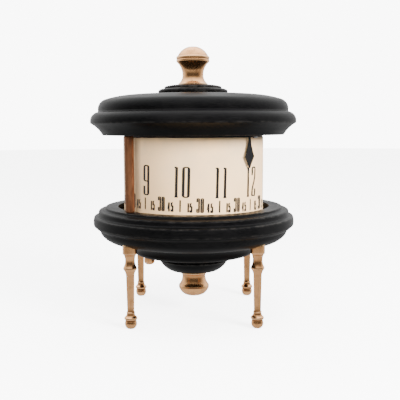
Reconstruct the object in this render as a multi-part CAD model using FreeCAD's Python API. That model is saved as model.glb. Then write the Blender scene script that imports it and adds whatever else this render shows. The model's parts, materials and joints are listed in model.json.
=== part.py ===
"""Revolving-drum mantel clock: turned wooden lid and base on four brass legs, and a drum dial between them.

Millimetres. The origin is on the table under the drum's axis, +Z is up and the clock's front faces -Y.
Plan positions are (x, y) pairs, and plan angles are in degrees from +X, anticlockwise seen from above.
"""
import FreeCAD, Part
import math
import os

V = FreeCAD.Vector
UP = V(0, 0, 1)

# Case: heights above the table, and radii from the axis
BOSS_LOW = 34.0
TIER_LOW = 49.4
BOWL_LOW = 60.4
RECESS_FLOOR = 72.0
RING_TOP = 87.5
LID_LOW = 144.0
BEAD_LOW = 176.4
CAP_LOW = 180.2
CAP_TOP = 183.3
FINIAL_TOP = 213.2
RECESS_RADIUS = 60.6
LEG_CIRCLE = 67.2
PILLAR_CIRCLE = 66.3
PILLAR_RADIUS = 3.5
SPIGOT_RADIUS = 1.5
SPIGOT_LENGTH = 7.0
LEG_SPIGOT_RADIUS = 2.5
LEG_COLLAR_RADIUS = 5.4
LEG_COLLAR_TOP = 63.8
LEG_SPIGOT_TOP = 70.0
CORNER_ANGLES = {"front_left": 225, "front_right": 315, "back_left": 135, "back_right": 45}
STUD_RADIUS = 2.0
STUD_LOW = 145.0
STUD_TOP = 200.0
WASHER_LOW = 149.6
NUT_LOW = 146.4
POCKET_TOP = 150.4
POCKET_RADIUS = 9.0
WASHER_RADIUS = 6.5
PILLAR_PLACES = ("front_left", "back_left", "back_right")
CENTRE_HOLE_RADIUS = 2.4
WINDING_HOLE_RADIUS = 2.6

# Wood screws that hold the tier under the bowl, and the boss under the tier
TIER_SCREW_CIRCLE = 30.0
TIER_SCREW_ANGLES = (30, 120, 210, 300)
BOSS_SCREW_CIRCLE = 19.0
BOSS_SCREW_ANGLES = (90, 210, 330)
WOOD_SCREW_RADIUS = 1.5
WOOD_SCREW_HEAD_RADIUS = 3.0
WOOD_SCREW_HEAD = 2.0
WOOD_SCREW_LENGTH = 18.5
CUT_THROUGH = 1.0
BOSS_SCREW_TOP = BOWL_LOW + WOOD_SCREW_HEAD

# Drum and its pointer
DRUM_RADIUS = 55.8
BAND_THICKNESS = 0.4
SHELL_THICKNESS = 0.8
DRUM_LOW = 78.0
BAND_TOP = 142.5
SHELL_TOP = 143.6
FLANGE_LOW = 133.0
FLANGE_TOP = 134.4
FLANGE_RADIUS = 48.0
HUB_LOW = 131.0
HUB_RADIUS = 7.0
SPIDER_TOP = 136.0
SPIDER_ANGLES = (30, 150, 270)
SPIDER_ARM_WIDTH = 7.0
SPIDER_SCREW_CIRCLE = 51.2
SPIDER_SCREW_RADIUS = 1.0
DRUM_NUT_TOP = 138.6
POINTER_ANGLE = 46.0
POINTER_DISTANCE = 58.0
POINTER_THICKNESS = 0.8
POINTER_SCREW_RADIUS = 0.9
POINTER_SCREW_END = 150.0
POINTER_TAB_LENGTH = 8.0

# Movement: levels
LOWER_PLATE_LOW = 79.0
LOWER_PLATE_TOP = 81.0
UPPER_PLATE_LOW = 112.0
UPPER_PLATE_TOP = 114.0
PLATE_RADIUS = 47.0
SCREW_CIRCLE = 42.0
PLATE_PILLAR_ANGLES = (0, 95, 235, 300)
MOUNTING_ANGLES = (45, 130, 215, 330)
MOUNTING_SCREW_RADIUS = 1.2
MOUNTING_SCREW_END = 63.0
PLATE_PILLAR_RADIUS = 2.6
PLATE_SCREW_RADIUS = 1.5
PLATE_SCREW_TOP = 116.4
PLATE_NUT_TOP = 116.0
MOUNTING_POST_RADIUS = 3.0
SCREWDRIVER_HOLE_RADIUS = 3.4
ENDSHAKE = 0.15
RUNNING_FIT = 0.04

# Motion work and hand setting: levels
KNOB_BORE_END = 17.0
KNOB_TOP = 33.5
SHOULDER_LOW = 89.2
SHOULDER_TOP = 91.2
CANNON_LOW = 114.4
CANNON_TOP = 117.2
CANNON_PIPE_TOP = 140.0
SETTING_ARBOR_TOP = 140.6
MINUTE_SHOULDER_TOP = 115.0
MINUTE_LOW = 115.2
MINUTE_PINION_LOW = 116.4
MINUTE_PINION_TOP = 120.4
MINUTE_STUD_TOP = 121.4
MINUTE_STUD_RADIUS = 1.0
HOUR_PIPE_LOW = 117.4
HOUR_WHEEL_LOW = 118.2
HOUR_PIPE_TOP = 139.2

# Gear teeth: involute flanks at a wide pressure angle, so that small pinions aren't undercut
PRESSURE_ANGLE = math.radians(30)
ADDENDUM = 0.70
DEDENDUM = 0.98
TOOTH_THINNING = 0.16

# Teeth and modules of each pair of wheel and pinion
BARREL_TEETH, INTERMEDIATE_PINION, BARREL_MODULE = 72, 12, 0.45
INTERMEDIATE_TEETH, CENTRE_PINION, INTERMEDIATE_MODULE = 60, 10, 0.55
CENTRE_TEETH, THIRD_PINION, CENTRE_MODULE = 64, 8, 0.50
THIRD_TEETH, FOURTH_PINION, THIRD_MODULE = 60, 8, 0.42
FOURTH_TEETH, ESCAPE_PINION, FOURTH_MODULE = 64, 8, 0.34
CANNON_PINION, MINUTE_TEETH, CANNON_MODULE = 12, 36, 0.60
MINUTE_PINION, HOUR_TEETH, HOUR_MODULE = 10, 40, 0.576
ESCAPE_TEETH = 15
RATCHET_TEETH = 24
RATCHET_LOW = 76.5
RATCHET_TOP = 78.3
RATCHET_ROOT = 7.4
RATCHET_TIP = 8.8
CLICK_SCREW_RADIUS = 1.0
SPRING_POST_RADIUS = 0.8

# Barrel: levels and radii
WINDING_ARBOR_LOW = 41.0
WINDING_KNOB_TOP = 48.6
GREAT_WHEEL_LOW = 83.0
BARREL_FLOOR = 84.6
BARREL_COVER_LOW = 99.8
BARREL_TOP = 101.0
BARREL_ARBOR_TOP = 102.0
BARREL_BORE = 14.0
BARREL_WALL_RADIUS = 14.8
BARREL_CORE_RADIUS = 3.6

# Escapement: levels and radii
ESCAPE_LOW = 107.0
ESCAPE_TOP = 108.0
LEVER_LOW = 106.9
LEVER_TOP = 108.1
BALANCE_LOW = 102.0
BALANCE_TOP = 103.4
ROLLER_LOW = 108.3
ROLLER_TOP = 109.1
ROLLER_PIN_CIRCLE = 1.7
ROLLER_PIN_RADIUS = 0.3
HORN_CLEARANCE = 0.12

# Arbors
ARBOR_RADIUS = 0.9
PIVOT_RADIUS = 0.5
CENTRE_ARBOR_RADIUS = 1.3
BARREL_ARBOR_RADIUS = 2.0
BARREL_PIVOT_RADIUS = 1.2
CENTRE_PIPE_RADIUS = 2.15
CANNON_PIPE_RADIUS = 2.0
HOUR_PIPE_RADIUS = 3.0
COLLET_RADIUS = 3.2


def polar(radius, angle):
    """Plan position at a radius and an angle."""
    turn = math.radians(angle)
    return (radius * math.cos(turn), radius * math.sin(turn))


def beyond(place, radius, angle):
    """Plan position at a radius and an angle from another position."""
    dx, dy = polar(radius, angle)
    return (place[0] + dx, place[1] + dy)


def bearing(start, end):
    """Plan angle from one position to another."""
    return math.degrees(math.atan2(end[1] - start[1], end[0] - start[0]))


def centre_distance(module, wheel, pinion):
    return module * (wheel + pinion) / 2


def meet(distance_to_end, end, distance_to_origin):
    """Position at given distances from the origin and from another position, on the clockwise side."""
    apart = math.hypot(*end)
    cosine = (apart ** 2 + distance_to_origin ** 2 - distance_to_end ** 2) / (2 * apart * distance_to_origin)
    return polar(distance_to_origin, bearing((0, 0), end) + math.degrees(math.acos(cosine)))


# Plan positions of the movement's arbors
CENTRE = (0, 0)
BARREL = polar(37.0, 172.2)
INTERMEDIATE = meet(
    centre_distance(BARREL_MODULE, BARREL_TEETH, INTERMEDIATE_PINION),
    BARREL,
    centre_distance(INTERMEDIATE_MODULE, INTERMEDIATE_TEETH, CENTRE_PINION),
)
THIRD = polar(centre_distance(CENTRE_MODULE, CENTRE_TEETH, THIRD_PINION), -60)
FOURTH = beyond(THIRD, centre_distance(THIRD_MODULE, THIRD_TEETH, FOURTH_PINION), 0)
ESCAPE = beyond(FOURTH, centre_distance(FOURTH_MODULE, FOURTH_TEETH, ESCAPE_PINION), 60)
PALLETS = beyond(ESCAPE, 8.4, 90)
BALANCE = beyond(PALLETS, 9.2, 100)
MINUTE = polar(centre_distance(CANNON_MODULE, MINUTE_TEETH, CANNON_PINION), 100)
CLICK = (BARREL[0] + 10.0, BARREL[1] + 10.2)
SPRING_POST = (BARREL[0] + 2.0, BARREL[1] + 17.0)


# ---- shapes ----

def at(point):
    return V(point[0], 0, point[1])


def turned(start, *steps):
    """Solid turned about Z. A step is a corner (r, z), or a pair: a point on an arc and the arc's end."""
    edges = []
    here = start
    for step in steps:
        if isinstance(step[0], tuple):
            through, there = step
            edges.append(Part.Arc(at(here), at(through), at(there)).toShape())
        else:
            there = step
            edges.append(Part.makeLine(at(here), at(there)))
        here = there
    edges.append(Part.makeLine(at(here), at(start)))
    return Part.Face(Part.Wire(edges)).revolve(V(0, 0, 0), UP, 360)


def rod(radius, low, high, place=(0, 0)):
    return Part.makeCylinder(radius, high - low, V(place[0], place[1], low))


def tube(inner, outer, low, high, place=(0, 0)):
    return rod(outer, low, high, place).cut(rod(inner, low, high, place))


def moved(shape, place, turn=0.0):
    """Copy of a shape turned about Z and then moved in plan."""
    copy = shape.copy()
    copy.rotate(V(0, 0, 0), UP, turn)
    copy.translate(V(place[0], place[1], 0))
    return copy


def plate(points, low, high):
    """Flat plate with a straight-sided outline, given in plan."""
    corners = [V(x, y, low) for x, y in points]
    return Part.Face(Part.makePolygon(corners + corners[:1])).extrude(V(0, 0, high - low))


def joined(first, *others):
    return first.fuse(list(others)).removeSplitter()


def save(name, *solids):
    """Write one node's solids to its STEP file."""
    shape = solids[0] if len(solids) == 1 else Part.makeCompound(list(solids))
    if not shape.isValid():
        raise ValueError(name + " isn't valid")
    shape.exportStep(os.path.join("parts", name + ".step"))
    print(name, len(shape.Solids), round(shape.Volume, 1))


def screw(head_radius, head_low, head_high, shank_radius, shank_end, place):
    """Screw with a slotted cheese head; the shank runs from the head to shank_end."""
    slot_width = head_radius * 0.3
    slot_depth = (head_high - head_low) * 0.45
    head = rod(head_radius, head_low, head_high, place)
    upward = shank_end > head_high
    slot_low = head_low if upward else head_high - slot_depth
    corner = V(place[0] - head_radius, place[1] - slot_width / 2, slot_low)
    head = head.cut(Part.makeBox(2 * head_radius, slot_width, slot_depth, corner))
    shank = rod(shank_radius, head_high, shank_end, place) if upward else rod(
        shank_radius, shank_end, head_low, place)
    return head.fuse(shank)


# ---- gears ----

def involute(angle):
    return math.tan(angle) - angle


def gear_outline(teeth, module, phase):
    """Closed wire of a gear's teeth; one tooth is centred on the plan angle given by phase."""
    pitch = module * teeth / 2
    base = pitch * math.cos(PRESSURE_ANGLE)
    tip = pitch + ADDENDUM * module
    root = pitch - DEDENDUM * module
    thickness = (math.pi / 2 - TOOTH_THINNING) * module
    flank = sorted({root, max(root, base), (pitch + max(root, base)) / 2, (pitch + tip) / 2, tip})
    halves = []
    for radius in flank:
        pressure = math.acos(min(1.0, base / radius))
        half = thickness / (2 * pitch) + involute(PRESSURE_ANGLE) - involute(pressure)
        halves.append((radius, math.degrees(half)))
    points = []
    for tooth in range(teeth):
        middle = phase + tooth * 360 / teeth
        points += [V(*polar(radius, middle - half), 0) for radius, half in halves]
        points += [V(*polar(radius, middle + half), 0) for radius, half in reversed(halves)]
    return Part.makePolygon(points + points[:1])


def window(inner, outer, start, end):
    """Closed wire of an opening between two wheel arms."""
    middle = (start + end) / 2
    corners = [V(*polar(r, a), 0) for r, a in ((inner, start), (outer, start), (outer, end), (inner, end))]
    outer_arc = Part.Arc(corners[1], V(*polar(outer, middle), 0), corners[2]).toShape()
    inner_arc = Part.Arc(corners[3], V(*polar(inner, middle), 0), corners[0]).toShape()
    return Part.Wire([
        Part.makeLine(corners[0], corners[1]),
        outer_arc,
        Part.makeLine(corners[2], corners[3]),
        inner_arc,
    ])


def circle(radius):
    return Part.Wire([Part.makeCircle(radius)])


def wheel(teeth, module, low, high, bore, phase, place, arms=0, hub=0.0):
    """Gear wheel with a bore, and with openings between its arms if it has any."""
    rim = module * teeth / 2 - DEDENDUM * module - 1.3
    holes = [circle(bore)]
    for arm in range(arms):
        start = phase + arm * 360 / arms
        holes.append(window(hub, rim, start + 9, start + 360 / arms - 9))
    face = Part.makeFace([gear_outline(teeth, module, phase)] + holes, "Part::FaceMakerBullseye")
    face.translate(V(place[0], place[1], low))
    return face.extrude(V(0, 0, high - low))


def mesh_phase(start, end, phase, teeth, other_teeth):
    """Phase of the gear at end that puts it in mesh with the gear at start."""
    line = bearing(start, end)
    return line + 180 - (phase - line) * teeth / other_teeth - 180 / other_teeth


def plain_arbor(place):
    """Arbor with its pivots in both plates."""
    bottom = LOWER_PLATE_TOP + ENDSHAKE
    top = UPPER_PLATE_LOW - ENDSHAKE
    pivots = rod(PIVOT_RADIUS, bottom - 1.6, top + 1.6, place)
    return rod(ARBOR_RADIUS, bottom, top, place).fuse(pivots)


def pinion_arbor(teeth, module, low, high, phase, place):
    """Arbor with a solid pinion."""
    leaves = Part.Face(gear_outline(teeth, module, phase))
    leaves.translate(V(place[0], place[1], low))
    return plain_arbor(place).fuse(leaves.extrude(V(0, 0, high - low)))


# ---- case ----

def base_bowl():
    bowl = turned(
        (CENTRE_HOLE_RADIUS, BOWL_LOW), (63.0, BOWL_LOW),
        ((68.5, 61.3), (72.3, 63.8)),
        ((74.5, 66.3), (75.4, 69.3)),
        (75.9, 69.8),
        ((77.8, 70.9), (79.1, 72.0)),
        (79.3, 72.5), (80.0, 72.8), (80.3, 73.3),
        ((80.5, 75.5), (80.3, 78.0)),
        (79.9, 79.6), (79.2, 80.1), (77.2, 80.6), (76.5, 81.4), (76.3, 83.2),
        ((75.9, 84.5), (74.6, 85.0)),
        (71.6, 85.6), (71.1, 86.0), (70.9, 87.0), (70.5, RING_TOP),
        (RECESS_RADIUS, RING_TOP), (RECESS_RADIUS, RECESS_FLOOR),
        (CENTRE_HOLE_RADIUS, RECESS_FLOOR),
    )
    open_low = BOWL_LOW - CUT_THROUGH
    holes = [rod(WINDING_HOLE_RADIUS, open_low, RECESS_FLOOR, BARREL)]
    for angle in CORNER_ANGLES.values():
        leg = polar(LEG_CIRCLE, angle)
        holes.append(rod(LEG_COLLAR_RADIUS, open_low, LEG_COLLAR_TOP, leg))
        holes.append(rod(LEG_SPIGOT_RADIUS, open_low, LEG_SPIGOT_TOP, leg))
    for name in PILLAR_PLACES:
        pillar = polar(PILLAR_CIRCLE, CORNER_ANGLES[name])
        holes.append(rod(SPIGOT_RADIUS, RING_TOP - SPIGOT_LENGTH, RING_TOP, pillar))
    for angle in TIER_SCREW_ANGLES:
        place = polar(TIER_SCREW_CIRCLE, angle)
        holes.append(rod(WOOD_SCREW_RADIUS, BOWL_LOW, RECESS_FLOOR, place))
        holes.append(rod(WOOD_SCREW_HEAD_RADIUS, RECESS_FLOOR - WOOD_SCREW_HEAD, RECESS_FLOOR, place))
    for angle in BOSS_SCREW_ANGLES:
        place = polar(BOSS_SCREW_CIRCLE, angle)
        holes.append(rod(WOOD_SCREW_HEAD_RADIUS, BOWL_LOW, BOSS_SCREW_TOP, place))
    for angle in MOUNTING_ANGLES:
        place = polar(SCREW_CIRCLE, angle)
        holes.append(rod(MOUNTING_SCREW_RADIUS, MOUNTING_SCREW_END, RECESS_FLOOR, place))
    return bowl.cut(holes)


def base_tier():
    tier = turned(
        (CENTRE_HOLE_RADIUS, TIER_LOW), (45.4, TIER_LOW),
        ((47.9, 50.1), (49.4, 52.0)),
        (49.4, 52.9),
        ((51.3, 56.4), (56.6, 58.6)),
        ((58.9, 59.1), (59.8, BOWL_LOW)),
        (CENTRE_HOLE_RADIUS, BOWL_LOW),
    )
    holes = [rod(WINDING_HOLE_RADIUS, TIER_LOW, BOWL_LOW, BARREL)]
    for angle in TIER_SCREW_ANGLES:
        place = polar(TIER_SCREW_CIRCLE, angle)
        holes.append(rod(WOOD_SCREW_RADIUS, RECESS_FLOOR - WOOD_SCREW_LENGTH, BOWL_LOW, place))
    for angle in BOSS_SCREW_ANGLES:
        holes.append(rod(WOOD_SCREW_RADIUS, TIER_LOW, BOWL_LOW, polar(BOSS_SCREW_CIRCLE, angle)))
    return tier.cut(holes)


def base_boss():
    boss = turned(
        (CENTRE_HOLE_RADIUS, BOSS_LOW), (11.6, BOSS_LOW),
        ((12.6, 34.2), (13.2, 34.9)),
        (19.6, 34.9),
        ((24.6, 38.4), (27.8, 42.9)),
        (28.6, 43.1),
        ((29.2, 43.9), (28.6, 44.7)),
        ((29.3, 46.6), (31.6, 47.9)),
        (31.6, TIER_LOW), (CENTRE_HOLE_RADIUS, TIER_LOW),
    )
    holes = []
    for angle in BOSS_SCREW_ANGLES:
        place = polar(BOSS_SCREW_CIRCLE, angle)
        holes.append(rod(WOOD_SCREW_RADIUS, BOSS_SCREW_TOP - WOOD_SCREW_LENGTH, TIER_LOW, place))
    return boss.cut(holes)


def wood_screws(circle_radius, angles, top):
    return [
        screw(WOOD_SCREW_HEAD_RADIUS, top - WOOD_SCREW_HEAD, top, WOOD_SCREW_RADIUS,
              top - WOOD_SCREW_LENGTH, polar(circle_radius, angle))
        for angle in angles
    ]


def leg():
    return turned(
        (0, 0), (2.6, 0),
        ((4.6, 3.7), (4.0, 6.1)),
        (3.9, 6.4), (4.6, 6.9),
        ((4.95, 7.8), (4.5, 8.8)),
        ((3.5, 9.9), (3.0, 11.7)),
        ((3.2, 12.2), (2.8, 12.8)),
        (2.65, 13.5), (3.15, 41.0), (3.4, 42.0),
        ((4.0, 43.7), (4.8, 44.9)),
        ((5.15, 45.9), (4.8, 46.9)),
        ((3.6, 52.6), (4.5, 56.2)),
        (5.2, 56.8), (LEG_COLLAR_RADIUS, 57.4), (LEG_COLLAR_RADIUS, LEG_COLLAR_TOP),
        (LEG_SPIGOT_RADIUS, LEG_COLLAR_TOP), (LEG_SPIGOT_RADIUS, LEG_SPIGOT_TOP), (0, LEG_SPIGOT_TOP),
    )


def pillar():
    low = RING_TOP - SPIGOT_LENGTH
    high = LID_LOW + SPIGOT_LENGTH
    return turned(
        (0, low), (SPIGOT_RADIUS, low), (SPIGOT_RADIUS, RING_TOP),
        (PILLAR_RADIUS - 0.9, RING_TOP),
        ((PILLAR_RADIUS - 0.25, 88.3), (PILLAR_RADIUS, 89.4)),
        (PILLAR_RADIUS, LID_LOW - 0.6),
        (PILLAR_RADIUS - 0.4, LID_LOW),
        (SPIGOT_RADIUS, LID_LOW), (SPIGOT_RADIUS, high), (0, high),
    )


def lid():
    body = turned(
        (STUD_RADIUS, LID_LOW), (71.9, LID_LOW),
        ((75.9, 149.3), (80.8, 153.0)),
        ((81.3, 153.4), (81.5, 154.4)),
        ((80.2, 159.2), (75.6, 162.1)),
        (75.2, 162.9),
        ((74.4, 168.0), (70.5, 171.6)),
        ((61.8, 173.9), (46.0, 175.2)),
        (29.0, BEAD_LOW), (STUD_RADIUS, BEAD_LOW),
    )
    holes = [rod(POCKET_RADIUS, LID_LOW, POCKET_TOP)]
    for name in PILLAR_PLACES:
        place = polar(PILLAR_CIRCLE, CORNER_ANGLES[name])
        holes.append(rod(SPIGOT_RADIUS, LID_LOW, LID_LOW + SPIGOT_LENGTH, place))
    holes.append(rod(POINTER_SCREW_RADIUS, LID_LOW, POINTER_SCREW_END, pointer_screw_place()))
    return body.cut(holes)


def lid_bead():
    return turned(
        (STUD_RADIUS, BEAD_LOW), (26.6, BEAD_LOW),
        ((27.6, 178.3), (26.2, 179.8)),
        (25.2, CAP_LOW), (STUD_RADIUS, CAP_LOW),
    )


def lid_cap():
    return turned(
        (STUD_RADIUS, CAP_LOW), (22.4, CAP_LOW),
        ((22.8, 181.1), (22.0, 182.2)),
        ((18.2, 183.0), (13.4, CAP_TOP)),
        (STUD_RADIUS, CAP_TOP),
    )


def finial():
    return turned(
        (STUD_RADIUS, CAP_TOP), (11.8, CAP_TOP), (11.8, 184.2),
        ((9.3, 186.9), (8.33, 191.4)),
        ((9.35, 196.6), (12.2, 200.7)),
        (12.9, 201.3), (13.1, 202.0), (13.1, 202.9), (12.75, 203.3), (12.75, 203.5),
        ((13.2, 204.5), (12.6, 205.6)),
        (12.0, 206.0),
        ((9.6, 209.5), (3.6, 213.0)),
        (2.6, FINIAL_TOP), (0, FINIAL_TOP),
        (0, STUD_TOP), (STUD_RADIUS, STUD_TOP),
    )


def hex_nut(corner_radius, bore, low, high, place=(0, 0)):
    hexagon = plate([polar(corner_radius, 60 * corner) for corner in range(6)], low, high)
    return moved(hexagon, place).cut(rod(bore, low, high, place))


def finial_nut():
    """Nut with a flange that bears on the top of the lid's pocket."""
    flange = tube(STUD_RADIUS, WASHER_RADIUS, WASHER_LOW, POCKET_TOP)
    return joined(hex_nut(4.0, STUD_RADIUS, NUT_LOW, WASHER_LOW), flange)


def case():
    save("base_bowl", base_bowl())
    save("base_tier", base_tier())
    save("base_boss", base_boss())
    tier_screws = wood_screws(TIER_SCREW_CIRCLE, TIER_SCREW_ANGLES, RECESS_FLOOR)
    boss_screws = wood_screws(BOSS_SCREW_CIRCLE, BOSS_SCREW_ANGLES, BOSS_SCREW_TOP)
    save("base_screws", *tier_screws, *boss_screws)
    for name, angle in CORNER_ANGLES.items():
        save("leg_" + name, moved(leg(), polar(LEG_CIRCLE, angle)))
    for name in PILLAR_PLACES:
        save("pillar_" + name, moved(pillar(), polar(PILLAR_CIRCLE, CORNER_ANGLES[name])))
    save("lid_moulding", lid())
    save("lid_bead", lid_bead())
    save("lid_cap", lid_cap())
    save("finial", finial())
    save("finial_stud", rod(STUD_RADIUS, STUD_LOW, STUD_TOP))
    save("finial_nut", finial_nut())


# ---- pointer ----

def pointer_screw_place():
    return polar(POINTER_DISTANCE + POINTER_TAB_LENGTH - 3.0, POINTER_ANGLE - 90)


def pointer():
    """Diamond plate facing the drum's axis, on a stem that is bent over under the lid."""
    back = -POINTER_DISTANCE + POINTER_THICKNESS / 2
    outline = [
        (0, 119.6), (5.0, 128.2), (1.6, 137.2), (0.95, 141.0), (0.95, LID_LOW),
        (-0.95, LID_LOW), (-0.95, 141.0), (-1.6, 137.2), (-5.0, 128.2),
    ]
    corners = [V(x, back, z) for x, z in outline]
    diamond = Part.Face(Part.makePolygon(corners + corners[:1])).extrude(V(0, -POINTER_THICKNESS, 0))
    tab_corner = V(-3.0, back - POINTER_TAB_LENGTH, LID_LOW - POINTER_THICKNESS)
    tab = Part.makeBox(6.0, POINTER_TAB_LENGTH, POINTER_THICKNESS, tab_corner)
    hand = moved(joined(diamond, tab), (0, 0), POINTER_ANGLE)
    return hand.cut(rod(POINTER_SCREW_RADIUS, 140, LID_LOW, pointer_screw_place()))


def pointer_screw():
    head_high = LID_LOW - POINTER_THICKNESS
    return screw(1.7, head_high - 1.1, head_high, POINTER_SCREW_RADIUS, POINTER_SCREW_END, pointer_screw_place())


# ---- drum ----

def drum():
    shell_outer = DRUM_RADIUS - BAND_THICKNESS
    shell_inner = shell_outer - SHELL_THICKNESS
    screw_places = [polar(SPIDER_SCREW_CIRCLE, angle) for angle in SPIDER_ANGLES]
    screw_holes = [rod(SPIDER_SCREW_RADIUS, FLANGE_LOW, SPIDER_TOP, place) for place in screw_places]
    flange = tube(FLANGE_RADIUS, shell_outer - SHELL_THICKNESS / 2, FLANGE_LOW, FLANGE_TOP)
    shell = joined(tube(shell_inner, shell_outer, DRUM_LOW, SHELL_TOP), flange)
    save("drum_shell", shell.cut(screw_holes))
    save("dial_band", tube(shell_outer, DRUM_RADIUS, DRUM_LOW, BAND_TOP))
    arm_length = shell_inner - SHELL_THICKNESS
    arm_corner = V(0, -SPIDER_ARM_WIDTH / 2, FLANGE_TOP)
    arm = Part.makeBox(arm_length, SPIDER_ARM_WIDTH, SPIDER_TOP - FLANGE_TOP, arm_corner)
    arms = [moved(arm, CENTRE, angle) for angle in SPIDER_ANGLES]
    spider = joined(rod(HUB_RADIUS, HUB_LOW, SPIDER_TOP), *arms)
    save("drum_spider", spider.cut(screw_holes + [rod(HOUR_PIPE_RADIUS, HUB_LOW, SPIDER_TOP)]))
    spider_screws = [
        screw(2.0, SPIDER_TOP, SPIDER_TOP + 1.2, SPIDER_SCREW_RADIUS, FLANGE_LOW - CUT_THROUGH, place)
        for place in screw_places
    ]
    save("spider_screws", *spider_screws)
    save("drum_nut", hex_nut(5.2, HOUR_PIPE_RADIUS, SPIDER_TOP, DRUM_NUT_TOP))


# ---- motion work and hand setting ----

def motion_work():
    cannon_phase = 0.0
    minute_phase = mesh_phase(CENTRE, MINUTE, cannon_phase, CANNON_PINION, MINUTE_TEETH)
    hour_phase = mesh_phase(MINUTE, CENTRE, 0.0, MINUTE_PINION, HOUR_TEETH)
    cannon = wheel(
        CANNON_PINION, CANNON_MODULE, CANNON_LOW, CANNON_TOP, CENTRE_ARBOR_RADIUS, cannon_phase, CENTRE)
    cannon_pipe = tube(CENTRE_ARBOR_RADIUS, CANNON_PIPE_RADIUS, CANNON_TOP, CANNON_PIPE_TOP)
    save("cannon_pinion", cannon.fuse(cannon_pipe))
    stud_bore = MINUTE_STUD_RADIUS + RUNNING_FIT
    minute = wheel(
        MINUTE_TEETH, CANNON_MODULE, MINUTE_LOW, MINUTE_PINION_LOW, stud_bore, minute_phase, MINUTE, 4, 4.2)
    pinion = wheel(
        MINUTE_PINION, HOUR_MODULE, MINUTE_PINION_LOW, MINUTE_PINION_TOP, stud_bore, 0.0, MINUTE)
    save("minute_wheel", minute.fuse(pinion))
    stud = rod(MINUTE_STUD_RADIUS, UPPER_PLATE_LOW, MINUTE_STUD_TOP, MINUTE)
    save("minute_stud", stud.fuse(rod(2.4, UPPER_PLATE_TOP, MINUTE_SHOULDER_TOP, MINUTE)))
    hour_bore = CANNON_PIPE_RADIUS + RUNNING_FIT
    hour = wheel(
        HOUR_TEETH, HOUR_MODULE, HOUR_WHEEL_LOW, HOUR_WHEEL_LOW + 1.2, hour_bore, hour_phase, CENTRE, 4, 4.6)
    save("hour_wheel", hour.fuse(tube(hour_bore, HOUR_PIPE_RADIUS, HOUR_PIPE_LOW, HOUR_PIPE_TOP)))
    shoulder = rod(2.6, SHOULDER_LOW, SHOULDER_TOP)
    save("setting_arbor", rod(CENTRE_ARBOR_RADIUS, KNOB_BORE_END, SETTING_ARBOR_TOP).fuse(shoulder))
    spring = turned(
        (CENTRE_ARBOR_RADIUS, SHOULDER_TOP), (2.0, SHOULDER_TOP), (4.8, 93.4), (4.8, 93.8), (2.0, 91.7),
        (CENTRE_ARBOR_RADIUS, 91.7),
    )
    save("friction_spring", spring)
    save("setting_knob", setting_knob())


def setting_knob():
    return turned(
        (0, 13.1),
        ((2.6, 13.2), (5.6, 13.6)),
        ((9.4, 15.4), (11.6, 18.4)),
        (12.1, 19.2),
        ((12.35, 20.6), (12.1, 22.0)),
        ((10.3, 24.9), (9.5, 28.4)),
        ((9.6, 30.4), (10.4, 31.6)),
        (10.8, 31.8), (10.8, KNOB_TOP), (CENTRE_ARBOR_RADIUS, KNOB_TOP),
        (CENTRE_ARBOR_RADIUS, KNOB_BORE_END), (0, KNOB_BORE_END),
    )


# ---- movement frame ----

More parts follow.
